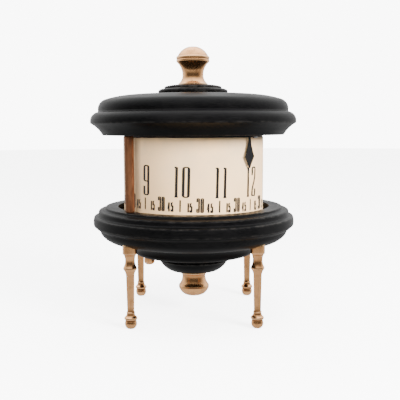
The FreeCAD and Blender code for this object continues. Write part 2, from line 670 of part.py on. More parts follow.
def movement_frame():
    arbors = (INTERMEDIATE, THIRD, FOURTH, ESCAPE, PALLETS, BALANCE)
    small = PIVOT_RADIUS + RUNNING_FIT
    lower_holes = [rod(small, LOWER_PLATE_LOW, LOWER_PLATE_TOP, place) for place in arbors]
    lower_holes.append(rod(CENTRE_ARBOR_RADIUS + RUNNING_FIT, LOWER_PLATE_LOW, LOWER_PLATE_TOP))
    lower_holes.append(rod(BARREL_ARBOR_RADIUS + RUNNING_FIT, LOWER_PLATE_LOW, LOWER_PLATE_TOP, BARREL))
    lower_holes.append(rod(CLICK_SCREW_RADIUS, LOWER_PLATE_LOW, LOWER_PLATE_TOP, CLICK))
    lower_holes.append(rod(SPRING_POST_RADIUS, LOWER_PLATE_LOW, LOWER_PLATE_TOP, SPRING_POST))
    upper_holes = [rod(small, UPPER_PLATE_LOW, UPPER_PLATE_TOP, place) for place in arbors]
    upper_holes.append(rod(CENTRE_ARBOR_RADIUS + RUNNING_FIT, UPPER_PLATE_LOW, UPPER_PLATE_TOP))
    upper_holes.append(rod(BARREL_PIVOT_RADIUS + RUNNING_FIT, UPPER_PLATE_LOW, UPPER_PLATE_TOP, BARREL))
    upper_holes.append(rod(MINUTE_STUD_RADIUS, UPPER_PLATE_LOW, UPPER_PLATE_TOP, MINUTE))
    pillars = []
    nuts = []
    for angle in PLATE_PILLAR_ANGLES:
        place = polar(SCREW_CIRCLE, angle)
        ends = rod(PLATE_SCREW_RADIUS, LOWER_PLATE_LOW, PLATE_SCREW_TOP, place)
        lower_holes.append(rod(PLATE_SCREW_RADIUS, LOWER_PLATE_LOW, LOWER_PLATE_TOP, place))
        upper_holes.append(rod(PLATE_SCREW_RADIUS, UPPER_PLATE_LOW, UPPER_PLATE_TOP, place))
        pillars.append(ends.fuse(rod(PLATE_PILLAR_RADIUS, LOWER_PLATE_TOP, UPPER_PLATE_LOW, place)))
        nuts.append(hex_nut(3.4, PLATE_SCREW_RADIUS, UPPER_PLATE_TOP, PLATE_NUT_TOP, place))
    posts = []
    screws = []
    for angle in MOUNTING_ANGLES:
        place = polar(SCREW_CIRCLE, angle)
        lower_holes.append(rod(MOUNTING_SCREW_RADIUS, LOWER_PLATE_LOW, LOWER_PLATE_TOP, place))
        upper_holes.append(rod(SCREWDRIVER_HOLE_RADIUS, UPPER_PLATE_LOW, UPPER_PLATE_TOP, place))
        posts.append(tube(MOUNTING_SCREW_RADIUS, MOUNTING_POST_RADIUS, RECESS_FLOOR, LOWER_PLATE_LOW, place))
        screws.append(screw(2.6, LOWER_PLATE_TOP, 82.6, MOUNTING_SCREW_RADIUS, MOUNTING_SCREW_END, place))
    save("lower_plate", rod(PLATE_RADIUS, LOWER_PLATE_LOW, LOWER_PLATE_TOP).cut(lower_holes))
    save("upper_plate", rod(PLATE_RADIUS, UPPER_PLATE_LOW, UPPER_PLATE_TOP).cut(upper_holes))
    save("plate_pillars", *pillars)
    save("plate_nuts", *nuts)
    save("mounting_posts", *posts)
    save("mounting_screws", *screws)


# ---- barrel and winding ----

def ratchet():
    points = []
    for tooth in range(RATCHET_TEETH):
        angle = 90 + tooth * 360 / RATCHET_TEETH
        points.append(polar(RATCHET_ROOT, angle))
        points.append(polar(RATCHET_TIP, angle))
    body = moved(plate(points, RATCHET_LOW, RATCHET_TOP), BARREL)
    return body.cut(rod(BARREL_ARBOR_RADIUS, RATCHET_LOW, RATCHET_TOP, BARREL))


def click():
    outline = [(0.36, 7.7), (2.3, 8.95), (9.0, 8.3), (10.0, 12.2), (0.3, 9.8)]
    nose = moved(plate(outline, RATCHET_LOW, RATCHET_TOP), BARREL)
    body = joined(nose, rod(2.2, RATCHET_LOW, RATCHET_TOP, CLICK))
    return body.cut(rod(CLICK_SCREW_RADIUS + RUNNING_FIT, RATCHET_LOW, RATCHET_TOP, CLICK))


def click_spring():
    """Flat spring on a post under the lower plate, drawn as the raised click leaves it."""
    outline = [(1.7, 17.0), (1.7, 13.2), (3.4, 12.6), (3.5, 12.9), (2.1, 13.5), (2.1, 17.0)]
    strip = moved(plate(outline, 76.9, 77.9), BARREL)
    post = rod(SPRING_POST_RADIUS, 76.7, LOWER_PLATE_TOP, SPRING_POST)
    return post.fuse(strip)


def spiral(inner, outer, turns, thickness, low, high, place):
    """Flat strip wound into an even spiral between two radii."""
    def side(offset):
        steps = 16 * turns
        points = []
        for step in range(steps + 1):
            radius = inner + (outer - inner) * step / steps + offset
            points.append(V(*polar(radius, 360 * turns * step / steps), low))
        curve = Part.BSplineCurve()
        curve.interpolate(points)
        return curve.toShape(), points[0], points[-1]
    inside, inside_start, inside_end = side(0.0)
    outside, outside_start, outside_end = side(thickness)
    wire = Part.Wire([
        inside,
        Part.makeLine(inside_end, outside_end),
        outside,
        Part.makeLine(outside_start, inside_start),
    ])
    return moved(Part.Face(wire).extrude(V(0, 0, high - low)), place)


def winding(barrel_phase):
    bore = BARREL_ARBOR_RADIUS + RUNNING_FIT
    great = wheel(BARREL_TEETH, BARREL_MODULE, GREAT_WHEEL_LOW, BARREL_FLOOR, bore, barrel_phase, BARREL)
    save("barrel", great.fuse(tube(BARREL_BORE, BARREL_WALL_RADIUS, BARREL_FLOOR, BARREL_TOP, BARREL)))
    save("barrel_cover", tube(bore, BARREL_BORE, BARREL_COVER_LOW, BARREL_TOP, BARREL))
    save("mainspring", spiral(4.2, 13.3, 6, 0.5, BARREL_FLOOR + 0.4, BARREL_COVER_LOW - 0.4, BARREL))
    arbor = rod(BARREL_ARBOR_RADIUS, WINDING_ARBOR_LOW, BARREL_ARBOR_TOP, BARREL)
    core = rod(BARREL_CORE_RADIUS, BARREL_FLOOR + ENDSHAKE, BARREL_COVER_LOW - ENDSHAKE, BARREL)
    top = rod(1.6, BARREL_ARBOR_TOP, UPPER_PLATE_LOW - ENDSHAKE, BARREL)
    pivot = rod(BARREL_PIVOT_RADIUS, BARREL_ARBOR_TOP, UPPER_PLATE_TOP - 0.4, BARREL)
    save("barrel_arbor", arbor.fuse([core, top, pivot]))
    save("ratchet_wheel", ratchet())
    save("click", click())
    click_screw = screw(1.9, RATCHET_LOW - 1.1, RATCHET_LOW - 0.1, CLICK_SCREW_RADIUS, LOWER_PLATE_TOP, CLICK)
    save("click_screw", click_screw)
    save("click_spring", click_spring())
    knob = turned(
        (0, 37.7), (1.6, 37.7),
        ((3.5, 38.4), (4.3, 40.4)),
        (4.3, 43.4),
        ((3.7, 45.0), (2.6, 46.4)),
        (2.6, WINDING_KNOB_TOP), (BARREL_ARBOR_RADIUS, WINDING_KNOB_TOP),
        (BARREL_ARBOR_RADIUS, WINDING_ARBOR_LOW), (0, WINDING_ARBOR_LOW),
    )
    save("winding_knob", moved(knob, BARREL))


# ---- going train ----

def going_train():
    """Save the wheels and pinions, each in mesh with the one before it; returns the barrel's phase."""
    intermediate_phase = mesh_phase(CENTRE, INTERMEDIATE, 0.0, CENTRE_PINION, INTERMEDIATE_TEETH)
    barrel_phase = mesh_phase(INTERMEDIATE, BARREL, 0.0, INTERMEDIATE_PINION, BARREL_TEETH)
    third_phase = mesh_phase(CENTRE, THIRD, 0.0, CENTRE_TEETH, THIRD_PINION)
    fourth_phase = mesh_phase(THIRD, FOURTH, 0.0, THIRD_TEETH, FOURTH_PINION)
    escape_phase = mesh_phase(FOURTH, ESCAPE, 0.0, FOURTH_TEETH, ESCAPE_PINION)

    centre_bore = CENTRE_ARBOR_RADIUS + RUNNING_FIT
    pinion = wheel(CENTRE_PINION, INTERMEDIATE_MODULE, 102.4, 107.4, centre_bore, 0.0, CENTRE)
    save("centre_pinion", pinion.fuse(tube(centre_bore, CENTRE_PIPE_RADIUS, 94.0, UPPER_PLATE_LOW - ENDSHAKE)))
    disc = wheel(CENTRE_TEETH, CENTRE_MODULE, 96.0, 97.2, CENTRE_PIPE_RADIUS, 0.0, CENTRE, 5, 4.6)
    save("centre_wheel", disc.fuse(tube(CENTRE_PIPE_RADIUS, 3.4, 97.2, 98.6)))

    save("intermediate_pinion", pinion_arbor(
        INTERMEDIATE_PINION, BARREL_MODULE, 82.0, 86.0, 0.0, INTERMEDIATE))
    save_wheel("intermediate_wheel", INTERMEDIATE_TEETH, INTERMEDIATE_MODULE, 104.0, intermediate_phase,
               INTERMEDIATE)
    save("third_pinion", pinion_arbor(THIRD_PINION, CENTRE_MODULE, 94.6, 98.6, third_phase, THIRD))
    save_wheel("third_wheel", THIRD_TEETH, THIRD_MODULE, 87.0, 0.0, THIRD)
    save("fourth_pinion", pinion_arbor(FOURTH_PINION, THIRD_MODULE, 85.6, 89.6, fourth_phase, FOURTH))
    save_wheel("fourth_wheel", FOURTH_TEETH, FOURTH_MODULE, 100.4, 0.0, FOURTH)
    save("escape_pinion", pinion_arbor(ESCAPE_PINION, FOURTH_MODULE, 99.0, 103.0, escape_phase, ESCAPE))
    return barrel_phase


def save_wheel(name, teeth, module, low, phase, place):
    """Save a wheel with four arms and the collet that holds it on its arbor."""
    disc = wheel(teeth, module, low, low + 1.0, ARBOR_RADIUS, phase, place, 4, COLLET_RADIUS)
    save(name, disc.fuse(tube(ARBOR_RADIUS, COLLET_RADIUS - 1.0, low + 1.0, low + 2.0, place)))


# ---- escapement ----

def escapement():
    points = []
    for tooth in range(ESCAPE_TEETH):
        angle = 90 + tooth * 360 / ESCAPE_TEETH
        points += [polar(4.9, angle), polar(6.0, angle + 3), polar(5.9, angle + 6), polar(4.9, angle + 13)]
    disc = moved(plate(points, ESCAPE_LOW, ESCAPE_TOP), ESCAPE)
    save("escape_wheel", disc.cut(rod(ARBOR_RADIUS, ESCAPE_LOW, ESCAPE_TOP, ESCAPE)))
    save("pallet_lever", pallet_lever())

    rim = tube(6.5, 7.5, BALANCE_LOW, BALANCE_TOP, BALANCE)
    bar = Part.makeBox(13.4, 1.4, 1.0, V(-6.7, -0.7, BALANCE_LOW + 0.2))
    hub = rod(2.0, BALANCE_LOW, BALANCE_TOP, BALANCE)
    balance = rim.fuse([moved(bar, BALANCE), hub])
    save("balance_wheel", balance.cut(rod(ARBOR_RADIUS, BALANCE_LOW, BALANCE_TOP, BALANCE)))
    pin_place = beyond(BALANCE, ROLLER_PIN_CIRCLE, bearing(BALANCE, PALLETS))
    roller = rod(2.2, ROLLER_LOW, ROLLER_TOP, BALANCE)
    pin = rod(ROLLER_PIN_RADIUS, ESCAPE_LOW, ROLLER_TOP, pin_place)
    collet = rod(1.3, 98.4, 99.6, BALANCE)
    save("balance_staff", plain_arbor(BALANCE).fuse([roller, pin, collet]))
    save("hairspring", spiral(1.5, 5.4, 5, 0.12, 98.6, 99.4, BALANCE))


def pallet_lever():
    """Anchor and fork on one arbor; the fork's horns are cut clear of the roller pin's circle."""
    anchor = plate([(-4.3, -2.0), (-3.4, -2.6), (-2.4, -0.9), (2.4, -0.9), (3.4, -2.6), (4.3, -2.0),
                    (2.6, 1.2), (-2.6, 1.2)], LEVER_LOW, LEVER_TOP)
    fork = plate([(0, -0.6), (5.2, -0.6), (5.4, -1.6), (7.9, -1.6), (7.9, -0.9), (6.4, -0.9),
                  (6.4, 0.9), (7.9, 0.9), (7.9, 1.6), (5.4, 1.6), (5.2, 0.6), (0, 0.6)], LEVER_LOW, LEVER_TOP)
    lever = moved(anchor, CENTRE, bearing(ESCAPE, PALLETS) - 90)
    lever = moved(lever.fuse(moved(fork, CENTRE, bearing(PALLETS, BALANCE))), PALLETS)
    pin_reach = ROLLER_PIN_CIRCLE + ROLLER_PIN_RADIUS + HORN_CLEARANCE
    return lever.cut(rod(pin_reach, LEVER_LOW, LEVER_TOP, BALANCE)).fuse(plain_arbor(PALLETS))


def main():
    os.makedirs("parts", exist_ok=True)
    case()
    save("pointer", pointer())
    save("pointer_screw", pointer_screw())
    drum()
    movement_frame()
    motion_work()
    winding(going_train())
    escapement()


main()
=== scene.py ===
import json
import math

import bpy
import numpy as np
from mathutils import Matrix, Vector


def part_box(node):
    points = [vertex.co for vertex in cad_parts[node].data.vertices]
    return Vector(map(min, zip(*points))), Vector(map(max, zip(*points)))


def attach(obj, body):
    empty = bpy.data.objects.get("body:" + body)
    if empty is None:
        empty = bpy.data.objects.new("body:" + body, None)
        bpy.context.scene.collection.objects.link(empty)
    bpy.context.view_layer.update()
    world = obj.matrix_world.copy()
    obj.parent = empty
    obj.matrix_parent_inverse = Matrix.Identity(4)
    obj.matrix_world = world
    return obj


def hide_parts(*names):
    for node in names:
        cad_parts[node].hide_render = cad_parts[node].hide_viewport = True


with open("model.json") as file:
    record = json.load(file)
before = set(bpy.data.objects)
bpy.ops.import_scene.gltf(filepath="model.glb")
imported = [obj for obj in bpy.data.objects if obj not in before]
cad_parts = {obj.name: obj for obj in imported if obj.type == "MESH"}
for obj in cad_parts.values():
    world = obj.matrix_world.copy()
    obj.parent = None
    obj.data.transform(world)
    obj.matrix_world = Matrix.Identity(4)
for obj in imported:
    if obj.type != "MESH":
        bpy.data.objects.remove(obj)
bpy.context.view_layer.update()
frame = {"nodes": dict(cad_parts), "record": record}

MM = 0.001

# Levels of the joins between the pieces, upwards from the feet, in millimetres
KNOB_BORE_END, KNOB_TOP = 17.0, 33.5
BOSS_LOW = 34.0
WINDER_BORE_END, WINDER_TOP = 41.0, 48.6
TIER_LOW = 49.4
BOWL_LOW = 60.4
LEG_COLLAR_TOP, LEG_TOP = 63.8, 70.0
RECESS_FLOOR = 72.0
SLEEVE_LOW, SLEEVE_TOP = 78.0, 142.5
RING_TOP = 87.5
LID_LOW, LID_RECESS_TOP = 144.0, 150.4
BEAD_LOW = 176.4
CAP_LOW, CAP_TOP = 180.2, 183.3
STUD_TOP = 200.0

# Radii that pieces share, in millimetres
CENTRE_HOLE = 2.4
WINDING_HOLE = 2.6
ARBOR_RADIUS = 1.3
STUD_RADIUS = 2.0
WINDER_BORE = 2.0
LEG_SPIGOT, LEG_COLLAR = 2.5, 5.4
PILLAR_RADIUS = 3.5
RECESS_RADIUS = 60.6
DRUM_RADIUS = 55.8


# ---- outlines: lines and arcs in the plane of radius and height, in millimetres ----

SAMPLE = 0.05           # spacing of an outline's first, dense points
STRAIGHT_GAP = 4.0      # spacing of the kept points on a straight stretch
CURVE_POINTS = 4.5      # kept points for each radian that an outline turns
FEWEST_POINTS = 12      # kept points of the simplest outline
BELL_REACH = 3          # half width of the softening, in its own widths
CORNER_SOFTENING = 0.22
RIDGE_SOFTENING = 0.35
AROUND = 192            # stations round a large turned piece
AROUND_MIDDLE = 128
AROUND_FITTING = 96
AROUND_SMALL = 64


def line_points(start, end):
    """Evenly spaced points from start up to end: start + t (end - start)."""
    count = max(2, int(math.dist(start, end) / SAMPLE))
    t = np.arange(count)[:, None] / count
    return np.array(start) + t * (np.array(end) - np.array(start))


def arc_points(start, through, end):
    """Evenly spaced points on the circle through three points: its centre is where two bisectors meet."""
    a, b, c = (np.array(p, float) for p in (start, through, end))
    matrix = 2 * np.array([b - a, c - a])
    centre = np.linalg.solve(matrix, [b @ b - a @ a, c @ c - a @ a])
    first, middle, last = (math.atan2(*(p - centre)[::-1]) for p in (a, b, c))
    sweep = (last - first) % math.tau
    if (middle - first) % math.tau > sweep:
        sweep -= math.tau
    radius = math.dist(a, centre)
    count = max(4, int(abs(sweep) * radius / SAMPLE))
    angle = first + sweep * np.arange(count) / count
    return centre + radius * np.stack([np.cos(angle), np.sin(angle)], 1)


def softened(values, width, closed, mirror):
    """Running average of a list of rows with a bell-shaped weight, so that corners become small rounds."""
    reach = max(1, int(BELL_REACH * width / SAMPLE))
    weight = np.exp(-0.5 * (np.arange(-reach, reach + 1) * SAMPLE / width) ** 2)
    weight /= weight.sum()
    if closed:
        padded = np.concatenate([values[-reach:], values, values[:reach]])
    else:
        before = values[1:reach + 1][::-1] * mirror
        after = values[-reach - 1:-1][::-1] * mirror
        padded = np.concatenate([before, values, after])
    return np.stack([np.convolve(column, weight, "valid") for column in padded.T], 1)


def outline(start, *steps, soft=CORNER_SOFTENING):
    """Outline as rows of radius, height and ridge.

    A step is a corner (r, z), or a pair: a point on an arc and the arc's end. An outline that starts on
    the axis ends on it, and any other closes on itself. Ridge is the turn for each millimetre of the softened
    outline, positive where it stands out and negative in a hollow. Kept points lie closer where it turns.
    """
    closed = start[0] > 0
    parts = []
    here = start
    for step in steps + ((start,) if closed else ()):
        if isinstance(step[0], tuple):
            parts.append(arc_points(here, step[0], step[1]))
            here = step[1]
        else:
            parts.append(line_points(here, step))
            here = step
    if not closed:
        parts.append(np.array([here], float))
    mirror = np.array([-1.0, 1.0])
    points = softened(np.concatenate(parts), soft, closed, mirror)
    ahead = np.roll(points, -1, 0) if closed else np.concatenate([points[1:], points[-2:-1] * mirror])
    behind = np.roll(points, 1, 0) if closed else np.concatenate([points[1:2] * mirror, points[:-1]])
    forward, backward = ahead - points, points - behind
    cross = backward[:, 0] * forward[:, 1] - backward[:, 1] * forward[:, 0]
    turn = np.arctan2(cross, (backward * forward).sum(1))
    step_length = np.maximum(np.linalg.norm(forward, axis=1), 1e-6)
    weight = step_length / STRAIGHT_GAP + np.abs(turn) * CURVE_POINTS
    total = np.concatenate([[0], np.cumsum(weight)])[:len(points)]
    count = max(FEWEST_POINTS, int(total[-1]))
    wanted = np.linspace(0, total[-1], count, endpoint=not closed)
    ridge = softened((turn / step_length)[:, None], RIDGE_SOFTENING, closed, 1.0)[:, 0]
    columns = [np.interp(wanted, total, column) for column in (points[:, 0], points[:, 1], ridge)]
    if not closed:
        columns[0][[0, -1]] = 0
    return np.stack(columns, 1)


# ---- meshes ----

def make_mesh(name, vertices, faces, smooth=True, attributes=None):
    """New object at the origin from whole arrays of vertices, in metres, and faces."""
    mesh = bpy.data.meshes.new(name)
    mesh.from_pydata(vertices, [], faces)
    for label, values in (attributes or {}).items():
        layer = mesh.attributes.new(label, "FLOAT", "POINT")
        layer.data.foreach_set("value", np.ascontiguousarray(values, dtype=np.float32))
    mesh.shade_smooth() if smooth else mesh.shade_flat()
    mesh.update()
    made = bpy.data.objects.new(name, mesh)
    bpy.context.scene.collection.objects.link(made)
    return made


def lathe(name, profile, centre=(0.0, 0.0), around=AROUND):
    """Turned surface: the outline's point (r, z) at angle a stands at (cx + r cos a, cy + r sin a, z).

    An outline that starts on the axis gets one vertex at each pole; any other closes on itself.
    """
    radius, height, ridge = profile.T
    poles = radius[0] == 0
    rows = len(radius)
    angle = np.arange(around) * math.tau / around
    body = slice(1, -1) if poles else slice(None)
    r, z = radius[body, None], np.broadcast_to(height[body, None], (rows - 2 * poles, around))
    points = np.stack([centre[0] + r * np.cos(angle), centre[1] + r * np.sin(angle), z], -1)
    points = points.reshape(-1, 3)
    bumps = np.repeat(ridge[body], around)
    index = np.arange(len(points)).reshape(-1, around)
    lower = index[:-1] if poles else index
    upper = index[1:] if poles else np.roll(index, -1, 0)
    quads = np.stack([lower, np.roll(lower, -1, 1), np.roll(upper, -1, 1), upper], -1)
    faces = quads.reshape(-1, 4).tolist()
    if poles:
        first, last = len(points), len(points) + 1
        tips = [[*centre, height[0]], [*centre, height[-1]]]
        points = np.concatenate([points, tips])
        bumps = np.concatenate([bumps, ridge[[0, -1]]])
        bottom, top = index[0], index[-1]
        faces += np.stack([np.full(around, first), np.roll(bottom, -1), bottom], 1).tolist()
        faces += np.stack([np.full(around, last), top, np.roll(top, -1)], 1).tolist()
    return make_mesh(name, points * MM, faces, attributes={"ridge": bumps})


def node_centre(node):
    """Plan position of a node's middle, in millimetres."""
    low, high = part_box(node)
    return ((low[0] + high[0]) / 2 / MM, (low[1] + high[1]) / 2 / MM)


def stands_for(piece, body, nodes, material):
    """Give a new piece its material and body, and hide the nodes that it replaces."""
    piece.data.materials.clear()
    piece.data.materials.append(material)
    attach(piece, body)
    if nodes:
        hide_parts(*nodes)


# ---- materials ----

def connect(tree, socket, value):
    """Link a socket to a value that is a socket itself, or set it to any other value."""
    if isinstance(value, bpy.types.NodeSocket):
        tree.links.new(value, socket)
    else:
        socket.default_value = value


def add(tree, kind, inputs=None, **settings):
    """New shader node with its settings, and its inputs by name or place."""
    made = tree.nodes.new(kind)
    for name, value in settings.items():
        setattr(made, name, value)
    for name, value in (inputs or {}).items():
        connect(tree, made.inputs[name], value)
    return made


def maths(tree, operation, first, second=0.0, third=0.0):
    inputs = {0: first, 1: second, 2: third}
    return add(tree, "ShaderNodeMath", inputs, operation=operation).outputs[0]


def scaled(tree, vector, scale):
    """Vector times a scale for each axis."""
    return add(tree, "ShaderNodeVectorMath", {0: vector, 1: scale}, operation="MULTIPLY").outputs[0]


def noise(tree, vector, scale, detail, roughness):
    inputs = {"Vector": vector, "Scale": scale, "Detail": detail, "Roughness": roughness}
    return add(tree, "ShaderNodeTexNoise", inputs).outputs["Fac"]


def spread(tree, value, low, high, to_low=0.0, to_high=1.0):
    """Value mapped from one range to another and held inside it."""
    inputs = {"Value": value, "From Min": low, "From Max": high, "To Min": to_low, "To Max": to_high}
    return add(tree, "ShaderNodeMapRange", inputs).outputs[0]


def blend(tree, factor, first, second):
    """Mix of two colours; a colour mix has its factor, colours and result at these places."""
    inputs = {0: factor, 6: first, 7: second}
    return add(tree, "ShaderNodeMix", inputs, data_type="RGBA").outputs[2]


def bump(tree, height, distance, strength, normal=None):
    """Normal raised by a height; distance is in metres, and normal is an earlier bump to build on."""
    inputs = {"Height": height, "Distance": distance, "Strength": strength}
    if normal is not None:
        inputs["Normal"] = normal
    return add(tree, "ShaderNodeBump", inputs).outputs[0]


def colour(red, green, blue):
    return (red, green, blue, 1.0)


def new_material(name):
    """Empty material: its tree, its main shader and the Object coordinates."""
    material = bpy.data.materials.new(name)
    material.use_nodes = True
    tree = material.node_tree
    shader = tree.nodes["Principled BSDF"]
    place = add(tree, "ShaderNodeTexCoord").outputs["Object"]
    return material, tree, shader, place


def plug(tree, shader, **inputs):
    """Link or set the shader's sockets; underscores in a name stand for spaces."""
    for name, value in inputs.items():
        connect(tree, shader.inputs[name.replace("_", " ")], value)


def turning_rings(tree, place, scale):
    """Noise that changes only with distance from the Z axis and with height, like a tool's rings."""
    parts = add(tree, "ShaderNodeSeparateXYZ", {0: place}).outputs
    across = maths(tree, "MULTIPLY", parts[0], parts[0])
    across = maths(tree, "SQRT", maths(tree, "MULTIPLY_ADD", parts[1], parts[1], across))
    rings = add(tree, "ShaderNodeCombineXYZ", {0: across, 1: parts[2]}).outputs[0]
    return noise(tree, rings, scale, 4.0, 0.6)


def ridge_attribute(tree):
    return add(tree, "ShaderNodeAttribute", attribute_name="ridge").outputs["Fac"]


def ebonised_wood():
    """Black-stained turned wood: fine rings from the tool, grain along X, pale scuffs on the ridges together
    with a painted highlight along them.
    """
    material, tree, shader, place = new_material("ebonised_wood")
    rings = turning_rings(tree, place, 1100.0)
    grain = noise(tree, scaled(tree, place, (60.0, 900.0, 900.0)), 1.0, 5.0, 0.65)
    cloud = noise(tree, place, 28.0, 4.0, 0.6)
    scratch = noise(tree, scaled(tree, place, (700.0, 90.0, 300.0)), 1.0, 2.0, 0.5)
    stain, thin_stain = colour(0.0008, 0.0008, 0.0009), colour(0.0026, 0.0025, 0.0026)
    faded, scuff_and_sheen_colour = colour(0.0042, 0.004, 0.004), colour(0.045, 0.041, 0.037)
    base = blend(tree, spread(tree, grain, 0.35, 0.7), stain, thin_stain)
    base = blend(tree, spread(tree, cloud, 0.45, 0.75, 0.0, 0.5), base, faded)
    # Paler on the convex ridges, in patches: partly rubbed wear, partly a painted edge highlight.
    ridge = spread(tree, ridge_attribute(tree), 0.25, 1.3)
    patchiness = spread(tree, noise(tree, place, 210.0, 5.0, 0.7), 0.44, 0.66)
    wear_and_sheen = maths(tree, "MULTIPLY", ridge, patchiness)
    base = blend(tree, maths(tree, "MULTIPLY", wear_and_sheen, 0.55), base, scuff_and_sheen_colour)
    uneven = maths(tree, "ADD", cloud, maths(tree, "MULTIPLY", rings, 0.6))
    roughness = spread(tree, uneven, 0.5, 1.1, 0.30, 0.50)
    normal = bump(tree, rings, 0.00006, 0.55)
    normal = bump(tree, grain, 0.00005, 0.5, normal)
    normal = bump(tree, scratch, 0.00004, 0.35, normal)
    plug(tree, shader, Base_Color=base, Roughness=roughness, Normal=normal, Specular_IOR_Level=0.08)
    return material


def rose_brass():
    """Aged rose-coloured brass: lines drawn along Z, brown tarnish in the hollows, bright ridges."""
    material, tree, shader, place = new_material("rose_brass")
    drawn = noise(tree, scaled(tree, place, (1300.0, 1300.0, 45.0)), 1.0, 4.0, 0.65)
    rings = noise(tree, scaled(tree, place, (20.0, 20.0, 2200.0)), 1.0, 3.0, 0.6)
    cloud = noise(tree, place, 130.0, 5.0, 0.62)
    spots = noise(tree, place, 800.0, 3.0, 0.6)
    ridge = ridge_attribute(tree)
    hollow = spread(tree, ridge, -0.03, -0.7)
    patches = spread(tree, maths(tree, "MULTIPLY_ADD", drawn, 0.6, cloud), 0.76, 1.04, 0.0, 0.5)
    tarnish = maths(tree, "MAXIMUM", maths(tree, "MULTIPLY", hollow, 0.9), patches)
    clean, tarnished = colour(0.98, 0.51, 0.22), colour(0.24, 0.09, 0.03)
    spotted, polished = colour(0.2, 0.08, 0.03), colour(0.95, 0.66, 0.38)
    base = blend(tree, tarnish, clean, tarnished)
    base = blend(tree, spread(tree, spots, 0.64, 0.82, 0.0, 0.35), base, spotted)
    base = blend(tree, spread(tree, ridge, 0.25, 1.4, 0.0, 0.7), base, polished)
    uneven = maths(tree, "MULTIPLY_ADD", drawn, 0.5, tarnish)
    roughness = spread(tree, uneven, 0.1, 1.2, 0.20, 0.40)
    normal = bump(tree, drawn, 0.00003, 0.25)
    normal = bump(tree, rings, 0.00004, 0.25, normal)
    plug(tree, shader, Base_Color=base, Metallic=1.0, Roughness=roughness, Normal=normal)
    return material


def copper_brown():
    """Browned copper rod: drawn lines along it and darker tarnished patches."""
    material, tree, shader, place = new_material("copper_brown")
    drawn = noise(tree, scaled(tree, place, (2500.0, 2500.0, 40.0)), 1.0, 3.0, 0.6)
    cloud = noise(tree, scaled(tree, place, (180.0, 180.0, 60.0)), 1.0, 5.0, 0.6)
    browned, tarnished = colour(0.22, 0.092, 0.042), colour(0.10, 0.038, 0.017)
    base = blend(tree, spread(tree, cloud, 0.38, 0.66), browned, tarnished)
    roughness = spread(tree, cloud, 0.3, 0.7, 0.30, 0.46)
    normal = bump(tree, drawn, 0.00003, 0.4)
    plug(tree, shader, Base_Color=base, Metallic=0.8, Roughness=roughness, Normal=normal)
    return material


def dial_paper():
    """Aged cream dial paper: faint fibres, brownish stains with painted shade from the lid that grows towards
    the top, and a painted shade band along the upper edge.
    """
    material, tree, shader, place = new_material("dial_paper")
    height = add(tree, "ShaderNodeSeparateXYZ", {0: place}).outputs[2]
    fibres = noise(tree, scaled(tree, place, (1500.0, 1500.0, 500.0)), 1.0, 4.0, 0.65)
    stain = noise(tree, place, 36.0, 5.0, 0.62)
    wash = noise(tree, place, 14.0, 2.0, 0.5)
    # Painted shade from the lid: the brown stain grows stronger towards the top, partly real staining and
    # partly painted shade.
    upper = spread(tree, height, 0.105, 0.145)
    cream, pale_cream = colour(0.79, 0.505, 0.25), colour(0.85, 0.575, 0.315)
    brown, painted_rim_shade, fibre = colour(0.46, 0.36, 0.24), colour(0.32, 0.26, 0.17), colour(0.60, 0.48, 0.33)
    base = blend(tree, spread(tree, wash, 0.35, 0.65), cream, pale_cream)
    stain_and_lid_shade = maths(tree, "MULTIPLY_ADD", upper, 0.5, 0.12)
    base = blend(tree, maths(tree, "MULTIPLY", spread(tree, stain, 0.4, 0.68), stain_and_lid_shade), base, brown)
    # Painted shade: a dark band along the paper's upper edge, where the lid shades it.
    edge = spread(tree, height, 0.1405, SLEEVE_TOP * MM)
    rim_shade_amount = maths(tree, "MULTIPLY", edge, spread(tree, stain, 0.3, 0.6, 0.2, 0.75))
    base = blend(tree, rim_shade_amount, base, painted_rim_shade)
    base = blend(tree, spread(tree, fibres, 0.35, 0.7, 0.0, 0.16), base, fibre)
    roughness = spread(tree, fibres, 0.3, 0.7, 0.52, 0.68)
    normal = bump(tree, fibres, 0.00003, 0.4)
    normal = bump(tree, wash, 0.0004, 0.15, normal)
    plug(tree, shader, Base_Color=base, Roughness=roughness, Normal=normal, Specular_IOR_Level=0.35)
    return material


def printing_ink():
    """Worn black printing ink, a little brown where it is thin."""
    material, tree, shader, place = new_material("printing_ink")
    thin = noise(tree, place, 1300.0, 4.0, 0.7)
    full_ink, worn_ink = colour(0.004, 0.0035, 0.0035), colour(0.03, 0.024, 0.02)
    base = blend(tree, spread(tree, thin, 0.5, 0.75), full_ink, worn_ink)
    plug(tree, shader, Base_Color=base, Roughness=spread(tree, thin, 0.3, 0.7, 0.45, 0.65))
    return material


def blackened_metal():
    """Matt black lacquer with faint brush marks."""
    material, tree, shader, place = new_material("blackened_metal")
    brushed = noise(tree, scaled(tree, place, (900.0, 900.0, 120.0)), 1.0, 3.0, 0.6)
    lacquer, thin_lacquer = colour(0.002, 0.002, 0.0025), colour(0.008, 0.0075, 0.008)
    base = blend(tree, spread(tree, brushed, 0.4, 0.75), lacquer, thin_lacquer)
    plug(tree, shader, Base_Color=base, Roughness=spread(tree, brushed, 0.3, 0.7, 0.38, 0.55),
         Normal=bump(tree, brushed, 0.00003, 0.4), Specular_IOR_Level=0.2)
    return material


def machined_metal(name, bright, dull, smoothest, roughest):
    """Brushed movement metal: fine grain with duller, slightly tarnished patches."""
    material, tree, shader, place = new_material(name)
    brushed = noise(tree, scaled(tree, place, (120.0, 2600.0, 700.0)), 1.0, 3.0, 0.6)
    cloud = noise(tree, place, 90.0, 4.0, 0.6)
    base = blend(tree, spread(tree, cloud, 0.42, 0.7), bright, dull)
    roughness = spread(tree, maths(tree, "ADD", brushed, cloud), 0.7, 1.3, smoothest, roughest)
    normal = bump(tree, brushed, 0.00002, 0.5)
    plug(tree, shader, Base_Color=base, Metallic=1.0, Roughness=roughness, Normal=normal)
    return material


